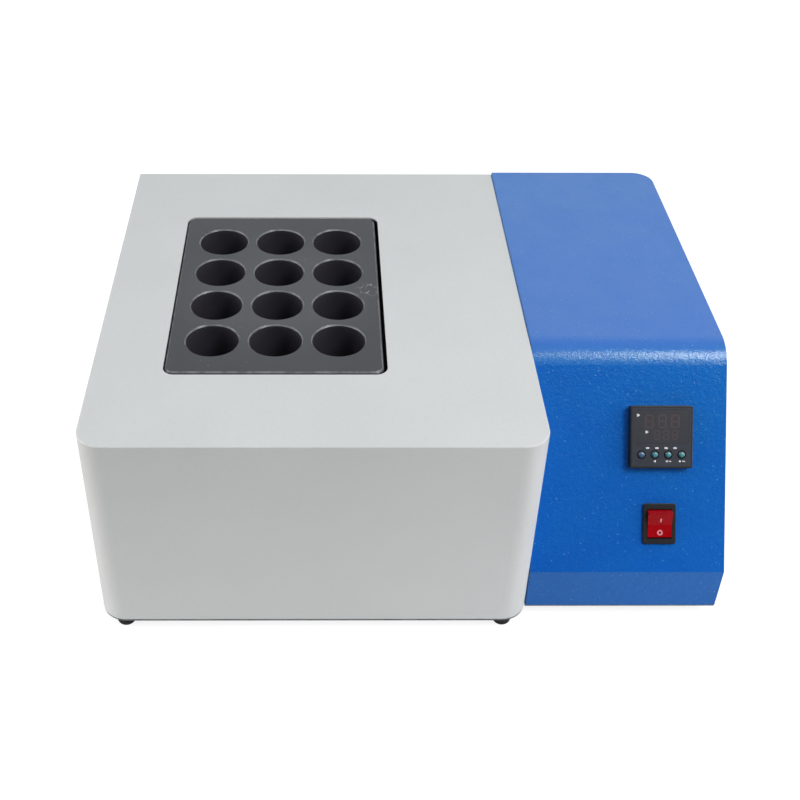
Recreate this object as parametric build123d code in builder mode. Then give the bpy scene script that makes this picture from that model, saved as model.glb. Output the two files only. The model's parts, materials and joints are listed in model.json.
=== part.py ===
from build123d import *
import os
from math import cos, radians, sin, tan

os.makedirs("parts", exist_ok=True)

# A graphite digestion block: a heated block with twelve tube wells stands in a pale sheet steel
# housing, and a control box with a sloped front is bolted to the housing's right side.
# The origin is on the floor, below the middle of the whole object. +X is to the right, as seen
# from the front, and +Y is to the back.

# Sheet metal and general clearances
sheet = 1.5
fit_gap = 0.3
slip_gap = 0.1
edge_radius = 1.0
hem_radius = 0.7
flange_height = 14
lip_width = 14

# Heating housing
housing_width = 334.5
housing_depth = 400
housing_height = 179.5
housing_corner_radius = 20
foot_height = 10

# Control box, measured against the housing
box_gap = 0.5
control_width = 150.8
control_setback = 15
control_overhang = 1.5
control_rise = 0.8
control_corner_radius = 18
panel_tilt = 36
chin_height = 38.8
chin_inside_radius = 1.5
top_bend_radius = 28

# Opening in the housing's top, and the block that stands in it
opening_width = 169.4
opening_depth = 234
opening_corner_radius = 9
opening_from_left = 138.3
opening_from_front = 200.2
block_gap = 1.7
block_shift_x = -1
block_shift_y = 1.2
block_edge = 1.8

# Tube wells, bored right through the block, and the floor slab that closes them
floor_thickness = 15
well_columns = 3
well_rows = 4
well_pitch_x = 49.1
well_pitch_y = 49.1
well_diameter = 41.2
well_depth = 95
well_rim = 1.2

# Heater, posts, liner and insulation
heater_thickness = 12
heater_inset = 4
stud_diameter = 6
stud_length = 14
stud_spacing = 40
stud_inset = 14
stud_chamfer = 0.6
channel_margin = 12
post_diameter = 14
post_inset = 28
post_spigot_diameter = 8
post_spigot_height = 8
liner_wall = 1
wall_insulation = 34
air_gap = 2

# Temperature probe in the block's right side
probe_diameter = 5
probe_reach = 13
probe_height = 45
probe_length = 74
probe_clearance = 0.05
probe_collar_diameter = 9
probe_collar_length = 8

# Screws, as shank diameter, head diameter and head height
small_screw = (4, 8, 1.8)
foot_screw = (3, 5.5, 1.6)
box_bolt = (5, 9, 3)
block_screw = (6, 10, 4)
screw_length = 8
screw_inset = 9
housing_screw_inset = 80
control_screw_inset = 58
rear_screw_lift = 20
hole_clearance = 0.4
nut_sides = 6
nut_width = 8
nut_height = 4
bolt_end = 1
bolt_from_front = 90
bolt_from_back = 40
bolt_lift = 40
bolt_rise = 50
block_screw_grip = 15
block_screw_recess = 4.5

# Rubber feet
foot_diameter = 17
foot_inset_x = 18.5
foot_inset_y = 10
foot_taper = 10
foot_round = 3.5
foot_recess_depth = 2.2
control_foot_inset = 34
corner_foot_inset = 22.5

# Cable bushing between the two boxes
bushing_lift = 2
bushing_bore = 18
bushing_wall = 3
bushing_flange = 4
bushing_flange_thickness = 2

# Leads
power_lead_diameter = 4
sensor_lead_diameter = 3
lead_bend = 14
lead_bend_share = 0.45
lead_entry = 16
sensor_lead_rise = 5.5
mains_lead_turn = 64

# Panel temperature controller, a 48 mm square instrument
controller_from_left = 99
controller_up_panel = 105.6
bezel_size = 48
bezel_height = 7
bezel_corner = 1.5
bezel_face = 2
bezel_wall = 2
case_size = 44.6
case_depth = 70
case_wall = 2
clamp_width = 54
clamp_thickness = 7
window_width = 42
window_height = 26
window_up = 8.2
window_thickness = 1.2
display_width = 36
display_height = 22
key_count = 4
key_pitch = 10.3
key_down = 13.5
key_diameter = 6
key_proud = 1.5
key_dome = 2.4
key_flange = 1.2
key_flange_thickness = 0.8
key_travel = 0.5
board_thickness = 1.6

# Rocker switch
switch_from_left = 99.6
switch_up_panel = 38
switch_bezel_width = 25.5
switch_bezel_length = 31.5
switch_bezel_height = 2
switch_bezel_corner = 2
switch_body_width = 21.6
switch_body_length = 28.1
switch_body_depth = 27
switch_bay_depth = 12
rocker_width = 18.8
rocker_swing_radius = 11.1
rocker_gap = 0.3
rocker_peak_height = 5.6
rocker_angle = 10
rocker_belly = 5.2
rocker_pivot_depth = 1.5
rocker_pin_diameter = 3
rocker_pin_reach = 0.8
rocker_pin_clearance = 0.05
blade_width = 6.3
blade_thickness = 0.8
blade_length = 9
blade_pitch_x = 10.8
blade_pitch_y = 14

# Power inlet in the back of the control box
inlet_from_right = 44
inlet_height = 42
inlet_flange_width = 50
inlet_flange_height = 24
inlet_flange_thickness = 3
inlet_flange_corner = 3
inlet_body_width = 27
inlet_body_height = 19.6
inlet_body_depth = 22
inlet_socket_width = 24
inlet_socket_height = 16
inlet_socket_depth = 17
inlet_pin_width = 4
inlet_pin_thickness = 2
inlet_pin_length = 11
inlet_pin_chamfer = 0.4
inlet_pin_spread = 7
inlet_screw_spacing = 40

# Solid state relay on its finned heat sink, and the terminal block
sink_width = 66
sink_depth = 90
sink_plate = 6
sink_fins = 7
sink_fin_thickness = 2.4
sink_fin_height = 28
sink_from_left = 14
sink_from_back = 26
relay_width = 45
relay_depth = 58
relay_height = 23
relay_terminal_height = 5
relay_ledge = 12
terminal_width = 24
terminal_depth = 46
terminal_height = 30
terminal_poles = 4
terminal_pole_depth = 10
terminal_wall = 1.2
terminal_from_left = 22

# Ventilation slots
vent_width = 3.5
vent_length = 34
vent_pitch = 9
housing_vent_count = 14
control_vent_count = 9
vent_row_pitch = 50

# Places that follow from the sizes above
overall_width = housing_width + box_gap + control_width + 2 * small_screw[2]
overall_depth = housing_depth + control_overhang + inlet_flange_thickness + small_screw[2]
housing_left = -overall_width / 2 + small_screw[2]
housing_right = housing_left + housing_width
housing_mid_x = (housing_left + housing_right) / 2
housing_front = -overall_depth / 2
housing_back = housing_front + housing_depth
control_left = housing_right + box_gap
control_right = control_left + control_width
control_mid_x = (control_left + control_right) / 2
control_front = housing_front + control_setback
control_back = housing_back + control_overhang
base_top = foot_height + sheet
housing_top = foot_height + housing_height
control_top = housing_top + control_rise
crease_height = foot_height + chin_height
opening_x = housing_left + opening_from_left
opening_y = housing_front + opening_from_front
block_x = opening_x + block_shift_x
block_y = opening_y + block_shift_y
block_width = opening_width - 2 * block_gap
block_depth = opening_depth - 2 * block_gap
block_corner_radius = opening_corner_radius - block_gap
block_bottom = housing_top - well_depth
floor_bottom = block_bottom - floor_thickness
heater_bottom = floor_bottom - heater_thickness
heater_width = block_width - 2 * heater_inset
heater_depth = block_depth - 2 * heater_inset
post_x = heater_width / 2 - post_inset
post_y = heater_depth / 2 - post_inset
board_top = heater_bottom - fit_gap
liner_width = opening_width + 2 * liner_wall
liner_depth = opening_depth + 2 * liner_wall
wall_top = housing_top - sheet - air_gap
stud_x = block_x + heater_width / 2 - stud_inset
stud_bottom = heater_bottom - stud_length
probe_z = block_bottom + probe_height
probe_tip = block_x + block_width / 2 - probe_reach
bushing_outside = bushing_bore / 2 + bushing_wall + bushing_flange
bushing_height = base_top + flange_height + bushing_outside + bushing_lift
panel_sin = sin(radians(panel_tilt))
panel_cos = cos(radians(panel_tilt))


def panel_plane(from_left, up_panel):
    """A plane on the sloped panel: x to the right, y up the panel and z out of it."""
    return Plane(
        origin=(
            control_left + from_left,
            control_front + up_panel * panel_sin,
            crease_height + up_panel * panel_cos,
        ),
        x_dir=(1, 0, 0),
        z_dir=(0, -panel_cos, panel_sin),
    )


def housing_outline(inset, back_inset):
    """The housing seen from above, drawn in by an inset, with rounded front corners."""
    front = housing_front + inset
    back = housing_back - back_inset
    with BuildSketch() as outline:
        with Locations((housing_mid_x, (front + back) / 2)):
            Rectangle(housing_width - 2 * inset, back - front)
        fillet(outline.vertices().group_by(Axis.Y)[0], radius=housing_corner_radius - inset)
    return outline.sketch


def control_outline(inset, left):
    """The control box seen from above, from a left edge, with its rounded back right corner."""
    right = control_right - inset
    front = control_front + inset
    back = control_back - inset
    with BuildSketch() as outline:
        with Locations(((left + right) / 2, (front + back) / 2)):
            Rectangle(right - left, back - front)
        back_right = outline.vertices().sort_by_distance((right, back, 0))[0]
        fillet(back_right, radius=control_corner_radius - inset)
    return outline.sketch


def control_profile(inset, bottom):
    """The control box seen from the side: chin, sloped panel, top and back, as (y, z)."""
    chin_y = control_front + inset
    crease_z = crease_height - inset * tan(radians(panel_tilt / 2))
    top_z = control_top - inset
    back_y = control_back - inset
    along = (top_z - crease_height + inset * panel_sin) / panel_cos
    bend_y = control_front + inset * panel_cos + along * panel_sin
    corners = [
        (chin_y, bottom),
        (chin_y, crease_z),
        (bend_y, top_z),
        (back_y, top_z),
        (back_y, bottom),
    ]
    with BuildSketch() as profile:
        with BuildLine():
            Polyline(*corners, close=True)
        make_face()
        crease = profile.vertices().sort_by_distance((chin_y, crease_z, 0))[0]
        fillet(crease, radius=chin_inside_radius + sheet - inset)
        bend = profile.vertices().sort_by_distance((bend_y, top_z, 0))[0]
        fillet(bend, radius=top_bend_radius - inset)
    return profile.sketch


def pan_screws(plane, points, size, length):
    """Pan head screws, one at each point of a plane that faces out of the sheet they hold."""
    shank, head, head_height = size
    slot_length = head / 2
    slot_width = head / 8
    slot_depth = head_height / 2
    with BuildPart() as screws:
        with BuildSketch(plane):
            with Locations(*points):
                Circle(head / 2)
        extrude(amount=head_height)
        rims = screws.faces().sort_by(Axis(plane.origin, plane.z_dir))[-len(points):].edges()
        fillet(rims, radius=head_height / 2)
        with BuildSketch(plane):
            with Locations(*points):
                Circle(shank / 2)
        extrude(amount=-length)
        with BuildSketch(plane.offset(head_height)):
            with Locations(*points):
                Rectangle(slot_length, slot_width)
                Rectangle(slot_width, slot_length)
        extrude(amount=-slot_depth, mode=Mode.SUBTRACT)
    return screws.part


def save(piece, label):
    """Name a finished piece and write its file."""
    piece.label = label
    export_step(piece, "parts/" + label + ".step")


# Planes that face out of the two boxes
housing_rear = Plane(origin=(0, housing_back, 0), x_dir=(-1, 0, 0), z_dir=(0, 1, 0))
control_rear = Plane(origin=(0, control_back, 0), x_dir=(-1, 0, 0), z_dir=(0, 1, 0))
housing_side = Plane(origin=(housing_left, 0, 0), x_dir=(0, -1, 0), z_dir=(-1, 0, 0))
control_side = Plane(origin=(control_right, 0, 0), x_dir=(0, 1, 0), z_dir=(1, 0, 0))
shared_wall = Plane(origin=(housing_right + sheet, 0, 0), x_dir=(0, 1, 0), z_dir=(1, 0, 0))
underside = Plane(origin=(0, 0, foot_height), x_dir=(1, 0, 0), z_dir=(0, 0, -1))

# Screw and bolt places
lip_middle = sheet + lip_width / 2
side_screw_height = base_top + screw_inset
rear_screw_points = [
    (-housing_left - lip_middle, side_screw_height + rear_screw_lift),
    (-housing_left - lip_middle, (base_top + housing_top) / 2),
    (-housing_left - lip_middle, housing_top - lip_middle),
    (-housing_mid_x, housing_top - lip_middle),
    (-housing_right + lip_middle, housing_top - lip_middle),
    (-housing_right + lip_middle, (base_top + housing_top) / 2),
    (-housing_right + lip_middle, side_screw_height + rear_screw_lift),
]
housing_side_points = [
    (-housing_front - housing_screw_inset, side_screw_height),
    (-(housing_front + housing_back) / 2, side_screw_height),
    (-housing_back + housing_screw_inset, side_screw_height),
]
control_side_points = [
    (control_front + control_screw_inset, side_screw_height),
    ((control_front + control_back) / 2, side_screw_height),
    (control_back - control_screw_inset, side_screw_height),
]
joint_points = [
    (y, z)
    for y in (control_front + bolt_from_front, housing_back - bolt_from_back)
    for z in (base_top + bolt_lift, base_top + bolt_lift + bolt_rise)
]
vent_middle_z = (base_top + housing_top) / 2
inlet_x = control_right - inlet_from_right

# Housing cover: top, front and both sides in one sheet, with return lips round its open back
with BuildPart() as housing_cover:
    with BuildSketch(Plane.XY.offset(base_top)):
        add(housing_outline(0, 0))
    extrude(amount=housing_top - base_top)
    top_face = housing_cover.faces().sort_by(Axis.Z)[-1]
    fillet(top_face.edges(), radius=edge_radius)
    lower_face = housing_cover.faces().sort_by(Axis.Z)[0]
    fillet(lower_face.edges(), radius=hem_radius)
    with BuildSketch(Plane.XY.offset(base_top)):
        add(housing_outline(sheet, 2 * sheet))
    extrude(amount=housing_top - sheet - base_top, mode=Mode.SUBTRACT)
    with BuildSketch(Plane.XZ.offset(-housing_back)):
        with Locations((housing_mid_x, (base_top + housing_top - sheet) / 2)):
            Rectangle(housing_width - 2 * sheet, housing_top - sheet - base_top)
    extrude(amount=sheet, mode=Mode.SUBTRACT)
    with BuildSketch(Plane.XZ.offset(-housing_back)):
        with Locations((housing_mid_x, (base_top + housing_top - sheet - lip_width) / 2)):
            Rectangle(
                housing_width - 2 * sheet - 2 * lip_width,
                housing_top - sheet - lip_width - base_top,
            )
    extrude(amount=3 * sheet, mode=Mode.SUBTRACT)
    with BuildSketch(Plane.XY.offset(housing_top)):
        with Locations((opening_x, opening_y)):
            RectangleRounded(opening_width, opening_depth, opening_corner_radius)
    extrude(amount=-2 * sheet, mode=Mode.SUBTRACT)
    with BuildSketch(housing_rear):
        with Locations(*rear_screw_points):
            Circle((small_screw[0] + hole_clearance) / 2)
    extrude(amount=-3 * sheet, mode=Mode.SUBTRACT)
    with BuildSketch(housing_side):
        with Locations(*housing_side_points):
            Circle((small_screw[0] + hole_clearance) / 2)
    extrude(amount=-2 * sheet, mode=Mode.SUBTRACT)
    with BuildSketch(shared_wall):
        with Locations(*joint_points):
            Circle((box_bolt[0] + hole_clearance) / 2)
        with Locations((opening_y, bushing_height)):
            Circle(bushing_bore / 2 + bushing_wall)
    extrude(amount=-3 * sheet, mode=Mode.SUBTRACT)
save(housing_cover.part, "housing_cover")

# Back panel: lies on the cover's lips, with two rows of ventilation slots
with BuildPart() as housing_back_panel:
    with BuildSketch(housing_rear):
        with Locations((-housing_mid_x, (base_top + housing_top - sheet) / 2)):
            Rectangle(
                housing_width - 2 * sheet - 2 * fit_gap,
                housing_top - sheet - base_top - 2 * fit_gap,
            )
        with Locations(*rear_screw_points):
            Circle((small_screw[0] + hole_clearance) / 2, mode=Mode.SUBTRACT)
        with Locations((-housing_mid_x, vent_middle_z)):
            with GridLocations(vent_pitch, vent_row_pitch, housing_vent_count, 2):
                SlotOverall(vent_length, vent_width, rotation=90, mode=Mode.SUBTRACT)
    extrude(amount=-sheet)
save(housing_back_panel.part, "housing_back_panel")

# Base plate: closes the housing below, with a flange that stands inside the cover
housing_feet = [
    (housing_left + foot_inset_x, housing_front + foot_inset_y),
    (housing_right - foot_inset_x, housing_front + foot_inset_y),
    (housing_left + foot_inset_x, housing_back - foot_inset_y),
    (housing_right - foot_inset_x, housing_back - foot_inset_y),
]
post_points = [
    (block_x + side_x * post_x, block_y + side_y * post_y)
    for side_x in (-1, 1)
    for side_y in (-1, 1)
]
with BuildPart() as base_plate:
    with BuildSketch(Plane.XY.offset(foot_height)):
        add(housing_outline(fit_gap, fit_gap))
    extrude(amount=sheet)
    flange_outside = sheet + fit_gap
    with BuildSketch(Plane.XY.offset(base_top)):
        add(housing_outline(flange_outside, 2 * sheet + fit_gap))
        add(housing_outline(flange_outside + sheet, 3 * sheet + fit_gap), mode=Mode.SUBTRACT)
    extrude(amount=flange_height)
    with BuildSketch(housing_side):
        with Locations(*housing_side_points):
            Circle((small_screw[0] + hole_clearance) / 2)
    extrude(amount=-4 * sheet, mode=Mode.SUBTRACT)
    with BuildSketch(underside):
        with Locations(*[(x, -y) for x, y in post_points]):
            Circle((small_screw[0] + hole_clearance) / 2)
        with Locations(*[(x, -y) for x, y in housing_feet]):
            Circle((foot_screw[0] + hole_clearance) / 2)
    extrude(amount=-2 * sheet, mode=Mode.SUBTRACT)
save(base_plate.part, "base_plate")

# Graphite block: twelve wells with broken rims, the probe's bore in its right side, and four
# screw holes in its underside, each midway between four wells
block_screw_points = [
    (block_x + side_x * well_pitch_x / 2, block_y + side_y * well_pitch_y)
    for side_x in (-1, 1)
    for side_y in (-1, 1)
]
with BuildPart() as graphite_block:
    with BuildSketch(Plane.XY.offset(block_bottom)):
        with Locations((block_x, block_y)):
            RectangleRounded(block_width, block_depth, block_corner_radius)
    extrude(amount=well_depth)
    top_face = graphite_block.faces().sort_by(Axis.Z)[-1]
    chamfer(top_face.edges(), length=block_edge)
    with BuildSketch(Plane.XY.offset(housing_top)):
        with Locations((block_x, block_y)):
            with GridLocations(well_pitch_x, well_pitch_y, well_columns, well_rows):
                Circle(well_diameter / 2)
    extrude(amount=-well_depth, mode=Mode.SUBTRACT)
    top_face = graphite_block.faces().sort_by(Axis.Z)[-1]
    chamfer(top_face.inner_wires().edges(), length=well_rim)
    with BuildSketch(Plane.YZ.offset(block_x + block_width / 2)):
        with Locations((block_y, probe_z)):
            Circle(probe_diameter / 2 + probe_clearance)
    extrude(amount=-probe_reach, mode=Mode.SUBTRACT)
    with BuildSketch(Plane.XY.offset(block_bottom)):
        with Locations(*block_screw_points):
            Circle((block_screw[0] + hole_clearance) / 2)
    extrude(amount=block_screw_grip + bolt_end, mode=Mode.SUBTRACT)
save(graphite_block.part, "graphite_block")

# Floor slab of graphite, which closes the wells from below
with BuildPart() as graphite_floor:
    with BuildSketch(Plane.XY.offset(floor_bottom)):
        with Locations((block_x, block_y)):
            RectangleRounded(block_width, block_depth, block_corner_radius)
        with Locations(*block_screw_points):
            Circle((block_screw[0] + hole_clearance) / 2, mode=Mode.SUBTRACT)
    extrude(amount=floor_thickness)
save(graphite_floor.part, "graphite_floor")

# Heater plate under the floor slab, with recesses for the heads of the block's screws
stud_points = [(stud_x, block_y + side * stud_spacing / 2) for side in (-1, 1)]
with BuildPart() as heater_plate:
    with BuildSketch(Plane.XY.offset(heater_bottom)):
        with Locations((block_x, block_y)):
            RectangleRounded(heater_width, heater_depth, block_corner_radius)
        with Locations(*post_points):
            Circle((post_spigot_diameter + hole_clearance) / 2, mode=Mode.SUBTRACT)
        with Locations(*block_screw_points):
            Circle((block_screw[0] + hole_clearance) / 2, mode=Mode.SUBTRACT)
    extrude(amount=heater_thickness)
    with BuildSketch(Plane.XY.offset(heater_bottom)):
        with Locations(*block_screw_points):
            Circle((block_screw[1] + hole_clearance) / 2)
    extrude(amount=block_screw_recess, mode=Mode.SUBTRACT)
save(heater_plate.part, "heater_plate")

# Screws that clamp the heater plate and the floor slab up against the block
block_screw_seat = Plane(
    origin=(0, 0, heater_bottom + block_screw_recess), x_dir=(1, 0, 0), z_dir=(0, 0, -1)
)
block_screw_length = heater_thickness - block_screw_recess + floor_thickness + block_screw_grip
save(
    pan_screws(
        block_screw_seat,
        [(x, -y) for x, y in block_screw_points],
        block_screw,
        block_screw_length,
    ),
    "block_screws",
)

# Threaded terminal studs under the heater plate
with BuildPart() as heater_studs:
    with BuildSketch(Plane.XY.offset(stud_bottom)):
        with Locations(*stud_points):
            Circle(stud_diameter / 2)
    extrude(amount=stud_length)
    chamfer(heater_studs.edges().group_by(Axis.Z)[0], length=stud_chamfer)
save(heater_studs.part, "heater_studs")

# Posts that carry the heater plate and the block above the base
with BuildPart() as block_posts:
    with BuildSketch(Plane.XY.offset(base_top)):
        with Locations(*post_points):
            Circle(post_diameter / 2)
    extrude(amount=heater_bottom - base_top)
    with BuildSketch(Plane.XY.offset(heater_bottom)):
        with Locations(*post_points):
            Circle(post_spigot_diameter / 2)
    extrude(amount=post_spigot_height)
    with BuildSketch(Plane.XY.offset(base_top)):
        with Locations(*post_points):
            Circle((small_screw[0] + hole_clearance) / 2)
    extrude(amount=screw_length, mode=Mode.SUBTRACT)
save(block_posts.part, "block_posts")

save(
    pan_screws(underside, [(x, -y) for x, y in post_points], small_screw, screw_length),
    "post_screws",
)

# Insulation board below the heater, with a channel for the heater's leads
board_width = liner_width + 2 * wall_insulation
board_depth = liner_depth + 2 * wall_insulation
channel_left = stud_x - channel_margin
channel_width = stud_spacing + 2 * channel_margin
with BuildPart() as bottom_insulation:
    with BuildSketch(Plane.XY.offset(base_top)):
        with Locations((opening_x, opening_y)):
            Rectangle(board_width, board_depth)
        with Locations(*post_points):
            Circle(post_diameter / 2 + fit_gap, mode=Mode.SUBTRACT)
    extrude(amount=board_top - base_top)
    with BuildSketch(Plane.XY.offset(board_top)):
        with Locations((channel_left, block_y)):
            Rectangle(board_width, channel_width, align=(Align.MIN, Align.CENTER))
    extrude(amount=-stud_length - power_lead_diameter, mode=Mode.SUBTRACT)
save(bottom_insulation.part, "bottom_insulation")

# Liner: a thin tube of stainless sheet that stands round the block, below the opening
with BuildPart() as inner_liner:
    with BuildSketch(Plane.XY.offset(board_top)):
        with Locations((opening_x, opening_y)):
            RectangleRounded(liner_width, liner_depth, opening_corner_radius + liner_wall)
            RectangleRounded(
                opening_width, opening_depth, opening_corner_radius, mode=Mode.SUBTRACT
            )
    extrude(amount=housing_top - sheet - fit_gap - board_top)
    with BuildSketch(Plane.YZ.offset(opening_x + liner_width / 2)):
        with Locations((block_y, probe_z)):
            Circle(probe_diameter / 2 + fit_gap)
    extrude(amount=-2 * liner_wall, mode=Mode.SUBTRACT)
save(inner_liner.part, "inner_liner")

# Ceramic fibre boards round the liner
wall_boards = {
    "left_insulation": (-(liner_width + wall_insulation) / 2, 0, wall_insulation, liner_depth),
    "right_insulation": ((liner_width + wall_insulation) / 2, 0, wall_insulation, liner_depth),
    "front_insulation": (0, -(liner_depth + wall_insulation) / 2, board_width, wall_insulation),
    "back_insulation": (0, (liner_depth + wall_insulation) / 2, board_width, wall_insulation),
}
for board_name, (shift_x, shift_y, size_x, size_y) in wall_boards.items():
    with BuildPart() as wall_board:
        with BuildSketch(Plane.XY.offset(board_top)):
            with Locations((opening_x + shift_x, opening_y + shift_y)):
                Rectangle(size_x, size_y)
        extrude(amount=wall_top - board_top)
        if board_name == "right_insulation":
            with BuildSketch(Plane.YZ.offset(opening_x + liner_width / 2)):
                with Locations((block_y, probe_z)):
                    Circle(probe_diameter / 2 + fit_gap)
            extrude(amount=wall_insulation, mode=Mode.SUBTRACT)
    save(wall_board.part, board_name)

# Temperature probe, pushed into the block from the right, with a collar at its cable end
probe_end = probe_tip + probe_length
with BuildPart() as temperature_probe:
    with BuildSketch(Plane.YZ.offset(probe_tip)):
        with Locations((block_y, probe_z)):
            Circle(probe_diameter / 2)
    extrude(amount=probe_length)
    with BuildSketch(Plane.YZ.offset(probe_end)):
        with Locations((block_y, probe_z)):
            Circle(probe_collar_diameter / 2)
    extrude(amount=-probe_collar_length)
save(temperature_probe.part, "temperature_probe")

# Screws that hold the cover and the back panel
save(pan_screws(housing_rear, rear_screw_points, small_screw, screw_length), "back_panel_screws")
save(
    pan_screws(housing_side, housing_side_points, small_screw, screw_length),
    "housing_side_screws",
)
save(
    pan_screws(control_side, control_side_points, small_screw, screw_length),
    "control_side_screws",
)

# Control cover: chin, sloped panel, top, back and right side in one shell
with BuildPart() as control_space:
    with BuildSketch(Plane.YZ.offset(control_left - sheet)):
        add(control_profile(sheet, foot_height))
    extrude(amount=control_width)
    back_right_edge = (
        control_space.edges().filter_by(Axis.Z).group_by(Axis.Y)[-1].sort_by(Axis.X)[-1]
    )
    fillet(back_right_edge, radius=control_corner_radius - sheet)

controller_plane = panel_plane(controller_from_left, controller_up_panel)
switch_plane = panel_plane(switch_from_left, switch_up_panel)
inlet_screw_points = [
    (-inlet_x + side * inlet_screw_spacing / 2, inlet_height) for side in (-1, 1)
]
with BuildPart() as control_cover:
    with BuildSketch(Plane.YZ.offset(control_left)):
        add(control_profile(0, base_top))
    extrude(amount=control_width)
    back_right_edge = (
        control_cover.edges().filter_by(Axis.Z).group_by(Axis.Y)[-1].sort_by(Axis.X)[-1]
    )
    fillet(back_right_edge, radius=control_corner_radius)
    left_face = control_cover.faces().sort_by(Axis.X)[0]
    fillet(left_face.edges(), radius=edge_radius)
    add(control_space.part, mode=Mode.SUBTRACT)
    with BuildSketch(controller_plane):
        Rectangle(case_size + hole_clearance, case_size + hole_clearance)
    extrude(amount=-2 * sheet, mode=Mode.SUBTRACT)
    with BuildSketch(switch_plane):
        Rectangle(switch_body_width + hole_clearance, switch_body_length + hole_clearance)
    extrude(amount=-2 * sheet, mode=Mode.SUBTRACT)
    with BuildSketch(control_rear):
        with Locations((-inlet_x, inlet_height)):
            Rectangle(inlet_body_width + hole_clearance, inlet_body_height + hole_clearance)
        with Locations(*inlet_screw_points):
            Circle((small_screw[0] + hole_clearance) / 2)
        with Locations((-control_mid_x, vent_middle_z + vent_length / 2)):
            with GridLocations(vent_pitch, vent_row_pitch, control_vent_count, 1):
                SlotOverall(vent_length, vent_width, rotation=90)
    extrude(amount=-2 * sheet, mode=Mode.SUBTRACT)
    with BuildSketch(control_side):
        with Locations(*control_side_points):
            Circle((small_screw[0] + hole_clearance) / 2)
    extrude(amount=-2 * sheet, mode=Mode.SUBTRACT)
save(control_cover.part, "control_cover")

# Control base: closes the control box below, with a flange inside the cover
control_feet = [
    (control_right - foot_inset_x, control_front + control_foot_inset),
    (control_right - corner_foot_inset, control_back - foot_inset_x),
]
with BuildPart() as control_base:
    with BuildSketch(Plane.XY.offset(foot_height)):
        add(control_outline(fit_gap, housing_right + fit_gap))
    extrude(amount=sheet)
    with BuildSketch(Plane.XY.offset(base_top)):
        add(control_outline(sheet + fit_gap, control_left + lip_width))
        add(control_outline(2 * sheet + fit_gap, control_left), mode=Mode.SUBTRACT)
    extrude(amount=flange_height)
    with BuildSketch(control_side):
        with Locations(*control_side_points):
            Circle((small_screw[0] + hole_clearance) / 2)
    extrude(amount=-4 * sheet, mode=Mode.SUBTRACT)
    with BuildSketch(underside):
        with Locations(*[(x, -y) for x, y in control_feet]):
            Circle((foot_screw[0] + hole_clearance) / 2)
    extrude(amount=-2 * sheet, mode=Mode.SUBTRACT)
save(control_base.part, "control_base")

# Side plate: closes the control box towards the housing and is bolted to it
with BuildPart() as control_side_plate:
    with BuildSketch(Plane.YZ.offset(housing_right)):
        add(control_profile(sheet + fit_gap, base_top))
    extrude(amount=sheet)
    with BuildSketch(Plane.XY.offset(base_top)):
        with Locations((housing_right, (control_front + control_back) / 2)):
            Rectangle(
                lip_width,
                control_back - control_front - 2 * lip_width,
                align=(Align.MIN, Align.CENTER),
            )
    extrude(amount=sheet)
    with BuildSketch(shared_wall):
        with Locations(*joint_points):
            Circle((box_bolt[0] + hole_clearance) / 2)
        with Locations((opening_y, bushing_height)):
            Circle(bushing_bore / 2 + bushing_wall)
    extrude(amount=-2 * sheet, mode=Mode.SUBTRACT)
save(control_side_plate.part, "control_side_plate")

# Bolts and nuts that join the two boxes
nut_reach = 2 * sheet + nut_height
save(pan_screws(shared_wall, joint_points, box_bolt, nut_reach + bolt_end), "joining_bolts")
with BuildPart() as joining_nuts:
    with BuildSketch(shared_wall.offset(-2 * sheet)):
        with Locations(*joint_points):
            RegularPolygon(nut_width / 2, nut_sides, major_radius=False)
            Circle((box_bolt[0] + hole_clearance) / 2, mode=Mode.SUBTRACT)
    extrude(amount=-nut_height)
save(joining_nuts.part, "joining_nuts")

# Rubber bushing that lines the hole between the boxes
with BuildPart() as cable_bushing:
    with BuildSketch(shared_wall.offset(bushing_flange_thickness)):
        with Locations((opening_y, bushing_height)):
            Circle(bushing_outside)
    extrude(amount=-2 * sheet - 2 * bushing_flange_thickness)
    with BuildSketch(shared_wall):
        with Locations((opening_y, bushing_height)):
            Circle(bushing_outside + bushing_flange)
            Circle(bushing_bore / 2 + bushing_wall - slip_gap, mode=Mode.SUBTRACT)
    extrude(amount=-2 * sheet, mode=Mode.SUBTRACT)
    with BuildSketch(shared_wall.offset(bushing_flange_thickness)):
        with Locations((opening_y, bushing_height)):
            Circle(bushing_bore / 2)
    extrude(amount=-2 * sheet - 2 * bushing_flange_thickness, mode=Mode.SUBTRACT)
save(cable_bushing.part, "cable_bushing")

# Rubber feet, each held by a screw in its recess
feet = {
    "foot_front_left": housing_feet[0],
    "foot_front_middle": housing_feet[1],
    "foot_back_left": housing_feet[2],
    "foot_back_middle": housing_feet[3],
    "foot_front_right": control_feet[0],
    "foot_back_right": control_feet[1],
}
for foot_name, foot_place in feet.items():
    with BuildPart() as foot:
        with BuildSketch(Plane.XY.offset(foot_height)):
            with Locations(foot_place):
                Circle(foot_diameter / 2)
        extrude(amount=-foot_height, taper=foot_taper)
        fillet(foot.edges().group_by(Axis.Z)[0], radius=foot_round)
        with BuildSketch(Plane.XY):
            with Locations(foot_place):
                Circle((foot_screw[1] + hole_clearance) / 2)
        extrude(amount=foot_recess_depth, mode=Mode.SUBTRACT)
        with BuildSketch(Plane.XY):
            with Locations(foot_place):
                Circle((foot_screw[0] + hole_clearance) / 2)
        extrude(amount=foot_height, mode=Mode.SUBTRACT)
    save(foot.part, foot_name)

foot_screw_plane = underside.offset(foot_height - foot_recess_depth)
save(
    pan_screws(
        foot_screw_plane,
        [(x, -y) for x, y in feet.values()],
        foot_screw,
        screw_length,
    ),
    "foot_screws",
)

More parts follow.
